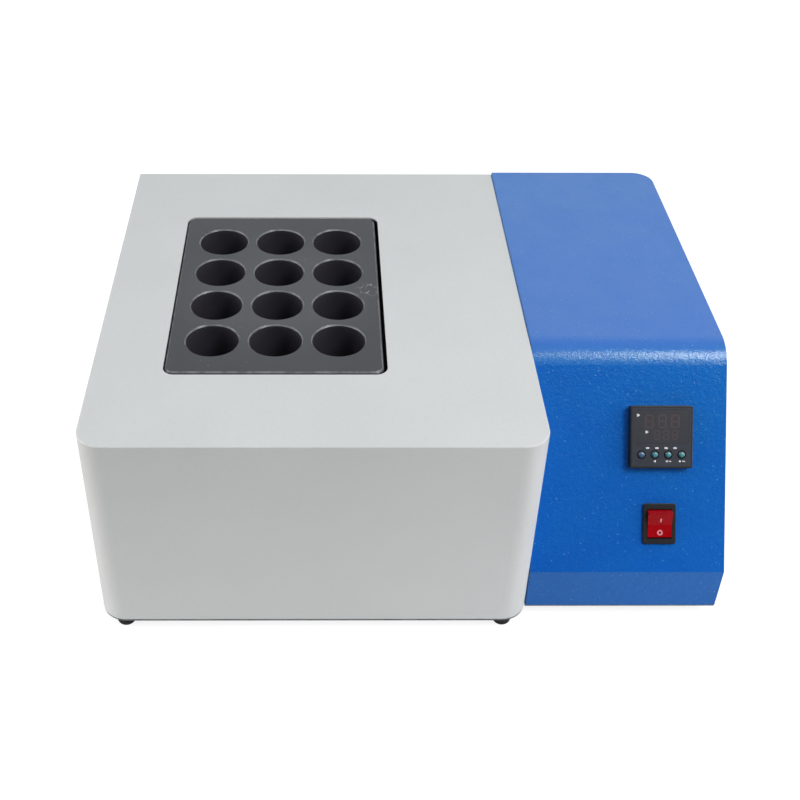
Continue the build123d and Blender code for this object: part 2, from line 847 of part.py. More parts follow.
# Controller bezel: a square frame proud of the panel, with the window's recess and key holes
bezel_front = controller_plane.offset(bezel_height)
key_points = [((index - (key_count - 1) / 2) * key_pitch, -key_down) for index in range(key_count)]
key_hole = key_diameter / 2 + fit_gap
with BuildPart() as controller_bezel:
    with BuildSketch(controller_plane):
        RectangleRounded(bezel_size, bezel_size, bezel_corner)
    extrude(amount=bezel_height)
    outward = Axis(controller_plane.origin, controller_plane.z_dir)
    front_face = controller_bezel.faces().sort_by(outward)[-1]
    fillet(front_face.edges(), radius=edge_radius / 2)
    with BuildSketch(controller_plane):
        Rectangle(bezel_size - 2 * bezel_wall, bezel_size - 2 * bezel_wall)
    extrude(amount=bezel_height - bezel_face, mode=Mode.SUBTRACT)
    with BuildSketch(bezel_front):
        with Locations((0, window_up)):
            Rectangle(window_width, window_height)
    extrude(amount=-window_thickness, mode=Mode.SUBTRACT)
    with BuildSketch(bezel_front):
        with Locations((0, window_up)):
            Rectangle(display_width, display_height)
        with Locations(*key_points):
            Circle(key_hole)
    extrude(amount=-2 * bezel_face, mode=Mode.SUBTRACT)
save(controller_bezel.part, "controller_bezel")

with BuildPart() as display_window:
    with BuildSketch(bezel_front.offset(-window_thickness)):
        with Locations((0, window_up)):
            Rectangle(window_width - 2 * slip_gap, window_height - 2 * slip_gap)
    extrude(amount=window_thickness - slip_gap)
save(display_window.part, "display_window")

# Display module behind the window, on the controller's front board
board_level = bezel_height - bezel_face - key_flange_thickness - 2 * key_travel
board_front = controller_plane.offset(board_level)
with BuildPart() as display_module:
    with BuildSketch(board_front):
        with Locations((0, window_up)):
            Rectangle(display_width - 2 * fit_gap, display_height - 2 * fit_gap)
    extrude(amount=bezel_height - window_thickness - fit_gap - board_level)
save(display_module.part, "display_module")

with BuildPart() as front_board:
    with BuildSketch(board_front):
        Rectangle(
            bezel_size - 2 * bezel_wall - 2 * fit_gap,
            bezel_size - 2 * bezel_wall - 2 * fit_gap,
        )
    extrude(amount=-board_thickness)
save(front_board.part, "front_board")

# Keys: domed caps with a flange that is trapped behind the bezel's face
for index, key_point in enumerate(key_points):
    with BuildPart() as key:
        with BuildSketch(bezel_front.offset(-bezel_face)):
            with Locations(key_point):
                Circle(key_diameter / 2)
        extrude(amount=bezel_face + key_proud)
        fillet(key.faces().sort_by(outward)[-1].edges(), radius=key_dome)
        with BuildSketch(bezel_front.offset(-bezel_face - slip_gap)):
            with Locations(key_point):
                Circle(key_diameter / 2 + key_flange)
        extrude(amount=-key_flange_thickness)
        with BuildSketch(bezel_front.offset(-bezel_face)):
            with Locations(key_point):
                Circle(key_diameter / 2)
        extrude(amount=-slip_gap)
    save(key.part, "controller_key_" + str(index + 1))

# Controller case behind the panel, and the collar that clamps it
with BuildPart() as controller_case:
    with BuildSketch(controller_plane):
        Rectangle(case_size, case_size)
    extrude(amount=-case_depth)
    with BuildSketch(controller_plane):
        Rectangle(case_size - 2 * case_wall, case_size - 2 * case_wall)
    extrude(amount=case_wall - case_depth, mode=Mode.SUBTRACT)
save(controller_case.part, "controller_case")

with BuildPart() as controller_clamp:
    with BuildSketch(controller_plane.offset(-sheet)):
        Rectangle(clamp_width, clamp_width)
        Rectangle(case_size + fit_gap, case_size + fit_gap, mode=Mode.SUBTRACT)
    extrude(amount=-clamp_thickness)
save(controller_clamp.part, "controller_clamp")

# Rocker switch: body with its bezel, and a bay that the rocker swings in
rocker_pivot = switch_plane.offset(-rocker_pivot_depth)
bay_width = rocker_width + 2 * rocker_gap
bay_length = 2 * (rocker_swing_radius + rocker_gap)
pin_plane = Plane(
    origin=rocker_pivot.origin, x_dir=rocker_pivot.y_dir, z_dir=rocker_pivot.x_dir
)
with BuildPart() as switch_body:
    with BuildSketch(switch_plane):
        RectangleRounded(switch_bezel_width, switch_bezel_length, switch_bezel_corner)
    extrude(amount=switch_bezel_height)
    front_face = switch_body.faces().sort_by(outward)[-1]
    fillet(front_face.edges(), radius=edge_radius / 2)
    with BuildSketch(switch_plane):
        Rectangle(switch_body_width, switch_body_length)
    extrude(amount=-switch_body_depth)
    with BuildSketch(switch_plane.offset(switch_bezel_height)):
        Rectangle(bay_width, bay_length)
    extrude(amount=-switch_bezel_height - switch_bay_depth, mode=Mode.SUBTRACT)
    with BuildSketch(pin_plane.offset(-switch_body_width / 2 + fit_gap)):
        Circle(rocker_pin_diameter / 2 + rocker_pin_clearance)
    extrude(amount=switch_body_width - 2 * fit_gap, mode=Mode.SUBTRACT)
save(switch_body.part, "switch_body")

# Rocker: a shallow V above its pivot, drawn as (up the panel, out of it), at rest in off
peak_y = (rocker_swing_radius**2 - rocker_peak_height**2) ** 0.5
valley_z = rocker_peak_height - peak_y * tan(radians(rocker_angle))
belly_y = (rocker_swing_radius**2 - rocker_belly**2) ** 0.5
with BuildSketch() as rocker_profile:
    with BuildLine():
        Polyline((-peak_y, rocker_peak_height), (0, valley_z), (peak_y, rocker_peak_height))
        ThreePointArc(
            (peak_y, rocker_peak_height), (rocker_swing_radius, 0), (belly_y, -rocker_belly)
        )
        Line((belly_y, -rocker_belly), (-belly_y, -rocker_belly))
        ThreePointArc(
            (-belly_y, -rocker_belly), (-rocker_swing_radius, 0), (-peak_y, rocker_peak_height)
        )
    make_face()
with BuildPart() as switch_rocker:
    with BuildSketch(pin_plane.offset(-rocker_width / 2)):
        add(rocker_profile.sketch.rotate(Axis.Z, rocker_angle))
    extrude(amount=rocker_width)
    with BuildSketch(pin_plane.offset(-rocker_width / 2 - rocker_gap - rocker_pin_reach + fit_gap)):
        Circle(rocker_pin_diameter / 2)
    extrude(amount=rocker_width + 2 * (rocker_gap + rocker_pin_reach - fit_gap))
save(switch_rocker.part, "switch_rocker")

with BuildPart() as switch_blades:
    with BuildSketch(switch_plane.offset(-switch_body_depth)):
        with GridLocations(blade_pitch_x, blade_pitch_y, 2, 2):
            Rectangle(blade_thickness, blade_width)
    extrude(amount=-blade_length)
save(switch_blades.part, "switch_blades")

# Power inlet with three pins, screwed to the back of the control box
with BuildPart() as power_inlet:
    with BuildSketch(control_rear):
        with Locations((-inlet_x, inlet_height)):
            RectangleRounded(inlet_flange_width, inlet_flange_height, inlet_flange_corner)
        with Locations(*inlet_screw_points):
            Circle((small_screw[0] + hole_clearance) / 2, mode=Mode.SUBTRACT)
    extrude(amount=inlet_flange_thickness)
    with BuildSketch(control_rear):
        with Locations((-inlet_x, inlet_height)):
            Rectangle(inlet_body_width, inlet_body_height)
    extrude(amount=-inlet_body_depth)
    with BuildSketch(control_rear.offset(inlet_flange_thickness)):
        with Locations((-inlet_x, inlet_height)):
            Rectangle(inlet_socket_width, inlet_socket_height)
    extrude(amount=-inlet_socket_depth, mode=Mode.SUBTRACT)
save(power_inlet.part, "power_inlet")

socket_floor = control_rear.offset(inlet_flange_thickness - inlet_socket_depth)
pin_drop = inlet_pin_width / 2
with BuildPart() as inlet_pins:
    with BuildSketch(socket_floor):
        with Locations(
            (-inlet_x - inlet_pin_spread, inlet_height - pin_drop),
            (-inlet_x + inlet_pin_spread, inlet_height - pin_drop),
            (-inlet_x, inlet_height + pin_drop),
        ):
            Rectangle(inlet_pin_thickness, inlet_pin_width)
    extrude(amount=inlet_pin_length)
    tips = inlet_pins.faces().sort_by(Axis.Y)[-3:].edges()
    chamfer(tips, length=inlet_pin_chamfer)
save(inlet_pins.part, "inlet_pins")

save(
    pan_screws(
        control_rear.offset(inlet_flange_thickness),
        inlet_screw_points,
        small_screw,
        screw_length,
    ),
    "inlet_screws",
)

# Heat sink with its fins down on the base, and the solid state relay on it
sink_x = control_left + sink_from_left + sink_width / 2
sink_y = control_back - sink_from_back - sink_depth / 2
sink_top = base_top + sheet + sink_fin_height + sink_plate
fin_pitch = (sink_width - sink_fin_thickness) / (sink_fins - 1)
with BuildPart() as relay_heatsink:
    with BuildSketch(Plane.XY.offset(base_top + sheet)):
        with Locations((sink_x, sink_y)):
            with GridLocations(fin_pitch, sink_depth, sink_fins, 1):
                Rectangle(sink_fin_thickness, sink_depth)
    extrude(amount=sink_fin_height)
    with BuildSketch(Plane.XY.offset(sink_top - sink_plate)):
        with Locations((sink_x, sink_y)):
            Rectangle(sink_width, sink_depth)
    extrude(amount=sink_plate)
save(relay_heatsink.part, "relay_heatsink")

with BuildPart() as solid_state_relay:
    with BuildSketch(Plane.XY.offset(sink_top)):
        with Locations((sink_x, sink_y)):
            Rectangle(relay_width, relay_depth)
    extrude(amount=relay_height)
    with BuildSketch(Plane.XY.offset(sink_top + relay_height)):
        with Locations((sink_x, sink_y)):
            with GridLocations(relay_width, relay_depth - relay_ledge, 1, 2):
                Rectangle(relay_width, relay_ledge)
    extrude(amount=-relay_terminal_height, mode=Mode.SUBTRACT)
save(solid_state_relay.part, "solid_state_relay")

# Terminal block on the control base, beside the bushing
terminal_x = control_left + terminal_from_left + terminal_width / 2
pole_pitch = (terminal_depth - terminal_wall) / terminal_poles
with BuildPart() as terminal_block:
    with BuildSketch(Plane.XY.offset(base_top)):
        with Locations((terminal_x, opening_y)):
            Rectangle(terminal_width, terminal_depth)
    extrude(amount=terminal_height)
    with BuildSketch(Plane.XY.offset(base_top + terminal_height)):
        with Locations((terminal_x, opening_y)):
            with GridLocations(terminal_width, pole_pitch, 1, terminal_poles):
                Rectangle(terminal_width - 2 * terminal_wall, pole_pitch - terminal_wall)
    extrude(amount=-terminal_pole_depth, mode=Mode.SUBTRACT)
save(terminal_block.part, "terminal_block")


def bend_radii(points):
    """A radius for each corner of a route, as large as its shorter run allows."""
    radii = []
    for before, corner, after in zip(points, points[1:], points[2:]):
        run_in = Vector(*corner) - Vector(*before)
        run_out = Vector(*after) - Vector(*corner)
        shorter = min(run_in.length, run_out.length)
        turn = radians(run_in.get_angle(run_out))
        radii.append(min(lead_bend, lead_bend_share * shorter / tan(turn / 2)))
    return radii


def leads(routes, diameter):
    """Round insulated leads, one solid along each route of straight runs and rounded corners."""
    with BuildPart() as wires:
        for points in routes:
            with BuildLine() as route:
                FilletPolyline(*points, radius=bend_radii(points))
            with BuildSketch(Plane(origin=route.line @ 0, z_dir=route.line % 0)):
                Circle(diameter / 2)
            sweep(path=route.line)
    return wires.part


# Heater leads: from the studs, through the channel and the bushing, down into the terminals
lead_z = stud_bottom + power_lead_diameter
lead_turn_x = opening_x + board_width / 2 + lead_entry
pole_floor = base_top + terminal_height - terminal_pole_depth
heater_routes = [
    [
        (stud_x + stud_diameter / 2 + fit_gap, block_y + side * stud_spacing / 2, lead_z),
        (lead_turn_x, block_y + side * stud_spacing / 2, lead_z),
        (housing_right - lead_entry, opening_y + side * pole_pitch / 2, bushing_height),
        (terminal_x, opening_y + side * pole_pitch / 2, bushing_height),
        (terminal_x, opening_y + side * pole_pitch / 2, pole_floor),
    ]
    for side in (-1, 1)
]
save(leads(heater_routes, power_lead_diameter), "heater_leads")

# Sensor lead: from the probe's collar, down and through the bushing, up to the controller
case_back = controller_plane.offset(-case_depth)
sensor_z = bushing_height + sensor_lead_rise
sensor_route = [
    (probe_end, block_y, probe_z),
    (probe_end + 2 * lead_entry, block_y, probe_z),
    (probe_end + 2 * lead_entry, opening_y, sensor_z),
    (terminal_x + lead_entry, opening_y, sensor_z),
    tuple(case_back.offset(-2 * lead_entry).origin),
    tuple(case_back.origin),
]
save(leads([sensor_route], sensor_lead_diameter), "sensor_lead")

# Mains leads: from the inlet's back, along the box to the lower blades of the switch
blade_end = switch_plane.offset(-switch_body_depth - blade_length - fit_gap)
blade_turn = blade_end.offset(-lead_entry)
mains_routes = []
for side in (-1, 1):
    blade_point = (side * blade_pitch_x / 2, -blade_pitch_y / 2, 0)
    turn = blade_turn.from_local_coords(Vector(*blade_point))
    end = blade_end.from_local_coords(Vector(*blade_point))
    inlet_side = inlet_x + side * inlet_pin_spread
    mains_routes.append(
        [
            (inlet_side, control_back - inlet_body_depth, inlet_height),
            (inlet_side, turn.Y + mains_lead_turn, inlet_height),
            tuple(turn),
            tuple(end),
        ]
    )
save(leads(mains_routes, power_lead_diameter), "mains_leads")
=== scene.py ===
import json
from math import cos, pi, radians, sin, tan

import bmesh
import bpy
from mathutils import Matrix, Vector


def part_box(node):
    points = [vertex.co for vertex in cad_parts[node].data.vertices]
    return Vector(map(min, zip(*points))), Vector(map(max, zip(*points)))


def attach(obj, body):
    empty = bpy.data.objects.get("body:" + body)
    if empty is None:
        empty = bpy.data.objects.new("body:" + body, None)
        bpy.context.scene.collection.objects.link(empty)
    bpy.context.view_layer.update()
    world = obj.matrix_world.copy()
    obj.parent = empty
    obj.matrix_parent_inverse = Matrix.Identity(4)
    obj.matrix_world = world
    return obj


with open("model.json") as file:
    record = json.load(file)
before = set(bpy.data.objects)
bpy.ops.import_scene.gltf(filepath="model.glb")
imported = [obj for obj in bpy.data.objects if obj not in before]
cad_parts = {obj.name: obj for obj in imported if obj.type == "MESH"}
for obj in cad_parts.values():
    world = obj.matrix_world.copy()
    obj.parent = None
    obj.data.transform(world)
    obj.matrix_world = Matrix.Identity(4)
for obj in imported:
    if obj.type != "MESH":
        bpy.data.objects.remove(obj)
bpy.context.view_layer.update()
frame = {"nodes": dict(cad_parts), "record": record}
nodes = frame["nodes"]

MM = 0.001
WHITE = (1, 1, 1, 1)

# Camera: the photograph's viewpoint, worked out from the edges and the wells that it shows
FRAME_PIXELS = 800
FOCAL_PIXELS = 1199.36
CENTRE_PIXEL = 330
CAMERA_PLACE = Vector((-69.37, -833.69, 731.24)) * MM
CAMERA_YAW = radians(0.477)
CAMERA_PITCH = radians(38.410)
CAMERA_ROLL = radians(0.306)
CAMERA_NEAR = 0.02

# Lamps: oval softboxes, each with its target, the way to it from there, half its width and height
# as seen from there in degrees, its radiance and its colour
OBJECT_CENTRE = Vector((0, -20, 120)) * MM
PANEL_BEND = Vector((168, -120, 183)) * MM
LAMP_DISTANCE = 1.7
NEUTRAL = (1, 1, 1)
WARM = (1.0, 0.955, 0.90)
SOFTBOXES = {
    "key_softbox": (PANEL_BEND, (0.50, -0.41, 0.80), 6.6, 20, 16.0, NEUTRAL),
    "left_softbox": (OBJECT_CENTRE, (-0.78, -0.10, 0.62), 12, 12, 3.6, NEUTRAL),
    "right_softbox": (OBJECT_CENTRE, (0.79, -0.03, 0.62), 12, 12, 1.6, NEUTRAL),
    "left_fill": (OBJECT_CENTRE, (-0.97, -0.20, 0.10), 14, 14, 9.6, WARM),
    "right_fill": (OBJECT_CENTRE, (0.94, -0.30, 0.18), 14, 14, 4.8, WARM),
}

# Studio: how bright it is around the object, and how much of that a matt surface gets
FRONT_LIGHT = 0.05
BACK_LIGHT = 1.3
SIDE_LIGHT = 1.4
CEILING_LIGHT = 1.1
DIFFUSE_SHARE = 0.435
SKY_TINT = (0.965, 1.0, 1.01, 1)

# Floor: TABLE_REACH is how far from the middle it starts to throw back less light
FLOOR_HALF = 6.0
TABLE_REACH = 0.42
NEAR_FLOOR = (0.97, 0.97, 0.97, 1)
FAR_FLOOR = (0.32, 0.32, 0.32, 1)
SEEN_FLOOR = (0.27, 0.27, 0.28, 1)
CAMERA_LIFT = 0.86
MIRROR_LIFT = 0.02

# Sloping panel, in millimetres: places on it are right of its left edge and up from its lower edge
PANEL_TILT = radians(36)
CREASE_HEIGHT = 48.8
CONTROLLER = (99, 105.6)
SWITCH = (99.6, 38)
BEZEL_HEIGHT = 7
OVERLAY_REACH = 22.4
WINDOW_DROP = 0.1
KEYS_DOWN = 13.5
KEY_PROUD = 1.5
# Each key's colour in the middle of its face, where light is painted, and at its rim, where shade is
# painted
KEY_COLOURS = {
    1: ((70, 112, 150), (14, 32, 50)),
    2: ((72, 150, 168), (8, 32, 44)),
    3: ((70, 154, 166), (8, 34, 44)),
    4: ((70, 152, 160), (8, 36, 42)),
}

# Marks on the controller, in millimetres from the middle of its face. A relief is the height of a
# mark's foot, the height of its top and the width of its sloping edge.
DIGIT_COLUMNS = (-1, 0, 1)
LARGE_DIGITS = {"middle": 0.45, "up": 12.1, "width": 5.6, "height": 9.4, "stroke": 1.25, "pitch": 10.0}
SMALL_DIGITS = {"middle": 3.45, "up": 1.7, "width": 4.0, "height": 6.4, "stroke": 0.9, "pitch": 6.8}
SEGMENT_GAP = 0.12
DIGIT_RELIEF = (-0.02, 0.03, 0.02)
INDICATORS = (-10.8, -3.6, 3.5, 10.3)
INDICATORS_UP = -8.4
INDICATOR_SIZE = (2.8, 1.4)
INDICATOR_RELIEF = (-0.05, 0.10, 0.06)
LEGENDS_UP = -18.6
LEGEND_ARROWS = ((-5.0, 180), (4.2, 270), (14.2, 90))
LEGEND_ARROW_SIZE = 1.0
LEGEND_BARS = ((6.6, 2.0), (17.0, 2.6))
LEGEND_BAR_HEIGHT = 0.8
ROW_POINTERS = ((-18.3, 16.9), (-11.6, 3.9))
ROW_POINTER_SIZE = 1.35
PRINT_RELIEF = (-0.02, 0.04, 0.02)

# Rocker at rest: the valley between its two faces, up from the switch's middle and out from the
# panel, the slope of the upper face, and the marks on both
ROCKER_VALLEY_UP = -0.68
ROCKER_VALLEY_HEIGHT = 2.35
ROCKER_SLOPE = radians(20)
ON_MARK = (0.6, 3.7, 1.1, 3.4)
OFF_MARK = (0.2, -6.8)
OFF_MARK_OUTER = 2.1
OFF_MARK_INNER = 1.15
ROCKER_RELIEF = (-0.03, 0.05, 0.03)

# Graphite block, in millimetres: how far below the top its walls start to take the painted light of
# the wells and where they have all of it, and the rubbed place on the top
PAINTED_WALL_LIGHT_START = 1.3
PAINTED_WALL_LIGHT_FULL = 3.5
SCRATCH_PLACE = (-31.0, -4.0, 189.5)
SCRATCH_REACH = 13.0


# Tools for building materials
class Graph:
    """Adds nodes to a tree. Sockets or numbers go in, sockets come out."""

    def __init__(self, tree):
        self.tree = tree

    def link(self, source, target):
        self.tree.links.new(source, target)

    def put(self, socket, value):
        if isinstance(value, bpy.types.NodeSocket):
            self.link(value, socket)
        else:
            socket.default_value = value

    def add(self, kind, **inputs):
        node = self.tree.nodes.new(kind)
        for name, value in inputs.items():
            self.put(node.inputs[name.replace("_", " ")], value)
        return node

    def math(self, operation, *values):
        node = self.tree.nodes.new("ShaderNodeMath")
        node.operation = operation
        for socket, value in zip(node.inputs, values):
            self.put(socket, value)
        return node.outputs[0]

    def span(self, value, low, high, start, end):
        """Smooth step of value from low to high, given as start to end."""
        node = self.tree.nodes.new("ShaderNodeMapRange")
        node.interpolation_type = "SMOOTHSTEP"
        for name, number in zip(("From Min", "From Max", "To Min", "To Max"), (low, high, start, end)):
            node.inputs[name].default_value = number
        self.put(node.inputs["Value"], value)
        return node.outputs["Result"]

    def number(self, factor, a, b):
        node = self.tree.nodes.new("ShaderNodeMix")
        node.data_type = "FLOAT"
        self.put(node.inputs[0], factor)
        self.put(node.inputs[2], a)
        self.put(node.inputs[3], b)
        return node.outputs[0]

    def colour(self, factor, a, b):
        node = self.tree.nodes.new("ShaderNodeMix")
        node.data_type = "RGBA"
        self.put(node.inputs[0], factor)
        self.put(node.inputs[6], a)
        self.put(node.inputs[7], b)
        return node.outputs[2]

    def place(self, stretch=(1, 1, 1), turn=(0, 0, 0), origin=(0, 0, 0)):
        """The surface's own place in metres, in a turned and stretched frame."""
        mapping = self.tree.nodes.new("ShaderNodeMapping")
        mapping.vector_type = "TEXTURE"
        mapping.inputs["Location"].default_value = origin
        mapping.inputs["Rotation"].default_value = turn
        mapping.inputs["Scale"].default_value = [1 / s for s in stretch]
        self.link(self.add("ShaderNodeTexCoord").outputs["Object"], mapping.inputs["Vector"])
        return mapping.outputs[0]

    def parts_of(self, vector):
        """The X, Y and Z of a vector, by name."""
        return self.add("ShaderNodeSeparateXYZ", Vector=vector).outputs

    def distance_from(self, point):
        node = self.add("ShaderNodeVectorMath", Vector=self.place())
        node.operation = "DISTANCE"
        node.inputs[1].default_value = point
        return node.outputs["Value"]

    def noise(self, size, detail=2.0, rough=0.5, **place):
        """Noise from 0 to 1 whose patches are about size millimetres wide."""
        node = self.tree.nodes.new("ShaderNodeTexNoise")
        node.inputs["Scale"].default_value = 1 / (size * MM)
        node.inputs["Detail"].default_value = detail
        node.inputs["Roughness"].default_value = rough
        self.link(self.place(**place), node.inputs["Vector"])
        return node.outputs[0]

    def cells(self, size, feature="F1"):
        node = self.tree.nodes.new("ShaderNodeTexVoronoi")
        node.feature = feature
        node.inputs["Scale"].default_value = 1 / (size * MM)
        self.link(self.place(), node.inputs["Vector"])
        return node

    def chance(self, cells):
        """A number from 0 to 1 that is the same all over each cell."""
        return self.add("ShaderNodeSeparateColor", Color=cells.outputs["Color"]).outputs[0]

    def specks(self, size, core, edge, low, high, strength):
        """A round speck in some cells, which fades from core to edge, its radii as shares of a
        cell's size. A cell has none up to the chance low, and one at full strength from high."""
        cells = self.cells(size)
        near = self.span(cells.outputs["Distance"], core, edge, 1.0, 0.0)
        return self.math("MULTIPLY", near, self.span(self.chance(cells), low, high, 0.0, strength))

    def bump(self, height, depth, under=None):
        """Relief of a given depth in millimetres, over the relief under it."""
        node = self.tree.nodes.new("ShaderNodeBump")
        node.inputs["Distance"].default_value = depth * MM
        self.link(height, node.inputs["Height"])
        if under is not None:
            self.link(under, node.inputs["Normal"])
        return node.outputs[0]


def linear(red, green, blue):
    """Linear colour of an sRGB colour given from 0 to 255."""
    def channel(value):
        v = value / 255
        return v / 12.92 if v <= 0.04045 else ((v + 0.055) / 1.055) ** 2.4
    return (channel(red), channel(green), channel(blue), 1)


def start(name, roughness, metallic=0.0, **sockets):
    """A new material's graph and shader. What is the same all over is set on the shader itself."""
    material = bpy.data.materials.new(name)
    material.use_nodes = True
    shader = material.node_tree.nodes["Principled BSDF"]
    shader.inputs["Roughness"].default_value = roughness
    shader.inputs["Metallic"].default_value = metallic
    for key, value in sockets.items():
        shader.inputs[key.replace("_", " ")].default_value = value
    return material, Graph(material.node_tree), shader


def finish_surface(g, shader, colour, roughness=None, normal=None):
    for name, value in (("Base Color", colour), ("Roughness", roughness), ("Normal", normal)):
        if value is not None:
            g.put(shader.inputs[name], value)


# Materials
def grey_paint():
    material, g, shader = start("grey_paint", 0.42)
    grain = g.noise(1.6, 3, 0.6)
    tone = g.colour(g.noise(90, 2), linear(199, 201, 202), linear(207, 209, 210))
    tone = g.colour(g.span(grain, 0.35, 0.75, 0.0, 0.16), tone, linear(176, 181, 184))
    rough = g.span(g.noise(40, 3), 0.3, 0.7, 0.38, 0.50)
    relief = g.bump(g.noise(1.1, 2, 0.6), 0.018, g.bump(g.noise(7, 1), 0.02))
    finish_surface(g, shader, tone, rough, relief)
    return material


def blue_paint():
    """Glossy blue powder coat: orange peel, a fine grain, a few pale specks that are painted glints,
    and a soft sheen.
    """
    material, g, shader = start(
        "blue_paint", 0.45, Specular_IOR_Level=1.0, Specular_Tint=(0.0, 0.45, 0.0, 1.0),
        Coat_Weight=1.0, Coat_Roughness=0.08, Coat_IOR=1.5,
        Sheen_Weight=0.45, Sheen_Roughness=0.4, Sheen_Tint=(0.06, 0.66, 0.9, 1.0),
    )
    tone = g.colour(g.noise(60, 2), linear(12, 79, 180), linear(16, 85, 186))
    tone = g.colour(g.span(g.noise(1.6, 2, 0.6), 0.50, 0.75, 0.0, 0.35), tone, linear(40, 116, 190))
    # Painted glints: a few pale specks in the paint's colour
    tone = g.colour(g.specks(3.2, 0.10, 0.22, 0.76, 0.93, 0.5), tone, linear(110, 160, 218))
    rough = g.span(g.noise(30, 3), 0.3, 0.7, 0.40, 0.52)
    relief = g.bump(g.noise(1.2, 2, 0.6), 0.20, g.bump(g.noise(3.5, 2, 0.5), 0.18))
    finish_surface(g, shader, tone, rough, relief)
    g.link(relief, shader.inputs["Coat Normal"])
    return material


def zinc():
    material, g, shader = start("zinc", 0.40, 1.0)
    crystal = g.chance(g.cells(9))
    tone = g.colour(crystal, linear(150, 154, 158), linear(180, 183, 185))
    rough = g.number(crystal, 0.34, 0.52)
    finish_surface(g, shader, tone, rough, g.bump(g.noise(1.5, 3), 0.01))
    return material


def brushed(name, dark, light, stretch, roughness):
    """Rolled or drawn metal, with fine lines along one axis."""
    material, g, shader = start(name, roughness, 1.0)
    lines = g.noise(0.8, 3, 0.6, stretch=stretch)
    tone = g.colour(lines, linear(*dark), linear(*light))
    rough = g.number(g.noise(25, 2), roughness - 0.07, roughness + 0.10)
    finish_surface(g, shader, tone, rough, g.bump(lines, 0.006))
    return material


def turned_steel():
    material, g, shader = start("screw_steel", 0.30, 1.0)
    grain = g.noise(1.2, 3, 0.6)
    tone = g.colour(grain, linear(178, 178, 176), linear(208, 208, 206))
    rough = g.number(g.noise(3, 2), 0.24, 0.42)
    finish_surface(g, shader, tone, rough, g.bump(grain, 0.008))
    return material


def graphite():
    """Machined graphite: dark and satin, with a painted pool of light in the middle of its top, even
    painted light on its walls, painted highlights on its edges, a little dust and a rubbed place at
    its right."""
    material, g, shader = start("graphite", 0.36, Specular_IOR_Level=0.42)
    low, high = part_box("graphite_block")
    middle = (low + high) / 2
    top = high.z
    height = g.parts_of(g.place())["Z"]

    # Painted light: a broad pool of light towards the middle of the top, mixed with random mottling
    painted_glow = g.span(g.distance_from((middle.x, middle.y, top)), 20 * MM, 110 * MM, 0.75, 0.0)
    glow_and_mottle = g.math("ADD", painted_glow, g.math("MULTIPLY", 0.7, g.noise(70, 3, 0.55)))
    tone = g.colour(glow_and_mottle, linear(39, 42, 48), linear(68, 69, 74))
    grain = g.noise(0.9, 4, 0.7)
    tone = g.colour(g.span(grain, 0.35, 0.7, 0.0, 0.35), tone, linear(34, 35, 38))
    tone = g.colour(g.specks(7, 0.03, 0.075, 0.72, 0.84, 0.8), tone, linear(150, 152, 156))

    away = g.distance_from([v * MM for v in SCRATCH_PLACE])
    rubbed = g.span(away, 0.3 * SCRATCH_REACH * MM, SCRATCH_REACH * MM, 1.0, 0.0)
    stroke = g.span(g.cells(6.5, "DISTANCE_TO_EDGE").outputs["Distance"], 0.012, 0.045, 1.0, 0.0)
    broken = g.span(g.noise(4, 2), 0.40, 0.55, 0.0, 0.7)
    scratch = g.math("MULTIPLY", g.math("MULTIPLY", stroke, broken), rubbed)
    tone = g.colour(scratch, tone, linear(168, 168, 182))

    # Painted light: the well walls take one even tone, set lighter to stand in for light in the wells
    painted_wall_light = g.span(height, top - PAINTED_WALL_LIGHT_FULL * MM, top - PAINTED_WALL_LIGHT_START * MM, 1.0, 0.0)
    tone = g.colour(painted_wall_light, tone, linear(54, 52, 59))
    # Painted highlight: a lighter band on the chamfers of the top edges and the well rims, broken up
    # by noise
    above = g.span(height, top - 1.5 * MM, top - 1.1 * MM, 0.0, 1.0)
    below = g.span(height, top - 0.3 * MM, top - 0.05 * MM, 1.0, 0.0)
    edge = g.math("MULTIPLY", above, below)
    painted_edge_highlight = g.math("MULTIPLY", edge, g.span(g.noise(9, 2), 0.35, 0.65, 0.35, 0.9))
    tone = g.colour(painted_edge_highlight, tone, linear(122, 124, 128))
    rough = g.number(g.noise(18, 4, 0.6), 0.28, 0.44)
    relief = g.bump(grain, 0.012, g.bump(g.noise(12, 2), 0.01))
    finish_surface(g, shader, tone, rough, relief)
    return material


def ceramic_fibre():
    material, g, shader = start("ceramic_fibre", 0.95, Specular_IOR_Level=0.2)
    tufts = g.noise(6, 6, 0.7)
    tone = g.colour(tufts, linear(214, 210, 198), linear(240, 238, 230))
    strands = g.noise(1.2, 4, 0.7, stretch=(1, 4, 1))
    finish_surface(g, shader, tone, None, g.bump(tufts, 0.8, g.bump(strands, 0.2)))
    return material


def rubber():
    material, g, shader = start("rubber", 0.75, Specular_IOR_Level=0.4)
    bloom = g.noise(5, 4, 0.6)
    tone = g.colour(bloom, linear(28, 28, 29), linear(46, 46, 47))
    rough = g.number(bloom, 0.66, 0.85)
    finish_surface(g, shader, tone, rough, g.bump(g.noise(0.7, 2), 0.02))
    return material


def moulded(name, dark, light, low, high, grain=0.8, depth=0.015, **sockets):
    """Moulded plastic with a fine grain and slightly uneven gloss."""
    material, g, shader = start(name, low, **sockets)
    tone = g.colour(g.noise(14, 3), linear(*dark), linear(*light))
    rough = g.number(g.noise(9, 2), low, high)
    finish_surface(g, shader, tone, rough, g.bump(g.noise(grain, 2, 0.6), depth))
    return material


